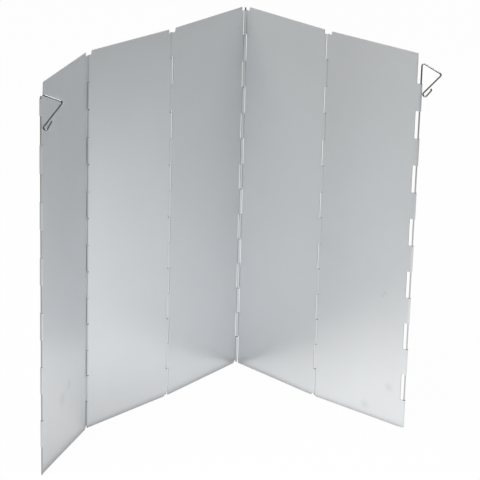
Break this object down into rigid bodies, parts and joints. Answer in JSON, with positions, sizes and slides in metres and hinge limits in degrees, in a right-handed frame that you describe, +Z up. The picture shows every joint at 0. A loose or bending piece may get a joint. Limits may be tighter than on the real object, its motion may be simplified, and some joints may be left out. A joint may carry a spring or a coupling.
{
  "type": "folding stove windscreen",
  "caption": "Folding stove windscreen of upright aluminium sheet panels, joined edge to edge by rolled knuckles on steel wire, with a bent wire clasp at each free edge.",
  "frame": {"origin": "middle of the bounding box's base, on the surface that the screen stands on", "axes": "+Z up along the hinge wires, +X from the left free edge to the right one, +Y from the stove towards the back corner"},
  "size_m": [0.4754, 0.3624, 0.5],
  "materials": {
    "aluminium_sheet": "satin mill finish",
    "steel_wire": "bright drawn wire"
  },
  "bodies": {
    "middle_panel": {"middle_panel": "aluminium_sheet", "hinge_pin_2": "steel_wire", "hinge_pin_3": "steel_wire"},
    "left_panel": {"left_panel": "aluminium_sheet", "hinge_pin_1": "steel_wire"},
    "left_end_panel": {"left_end_panel": "aluminium_sheet"},
    "right_panel": {"right_panel": "aluminium_sheet", "hinge_pin_4": "steel_wire"},
    "right_end_panel": {"right_end_panel": "aluminium_sheet"},
    "left_clasp": {"left_clasp_rod": "steel_wire"},
    "right_clasp": {"right_clasp_rod": "steel_wire"}
  },
  "joints": [
    {"name": "hinge_1_fold", "type": "hinge", "parent": "left_panel", "child": "left_end_panel", "pos_m": [-0.18995, -0.04191, 0], "axis": [0, 0, 1], "range_deg": [-114, 140]},
    {"name": "hinge_2_fold", "type": "hinge", "parent": "middle_panel", "child": "left_panel", "pos_m": [-0.09405, 0.06688, 0], "axis": [0, 0, -1], "range_deg": [-94.5, 175.5]},
    {"name": "hinge_3_fold", "type": "hinge", "parent": "middle_panel", "child": "right_panel", "pos_m": [-0.00257, 0.17942, 0], "axis": [0, 0, -1], "range_deg": [-187, 83]},
    {"name": "hinge_4_fold", "type": "hinge", "parent": "right_panel", "child": "right_end_panel", "pos_m": [0.10194, 0.07887, 0], "axis": [0, 0, 1], "range_deg": [-95.5, 172.5]},
    {"name": "left_clasp_swing", "type": "hinge", "parent": "left_end_panel", "child": "left_clasp", "pos_m": [-0.23596, -0.17942, 0], "axis": [0, 0, -1], "range_deg": [-60, 220]},
    {"name": "right_clasp_swing", "type": "hinge", "parent": "right_end_panel", "child": "right_clasp", "pos_m": [0.21382, -0.01336, 0], "axis": [0, 0, -1], "range_deg": [-150, 120]}
  ]
}
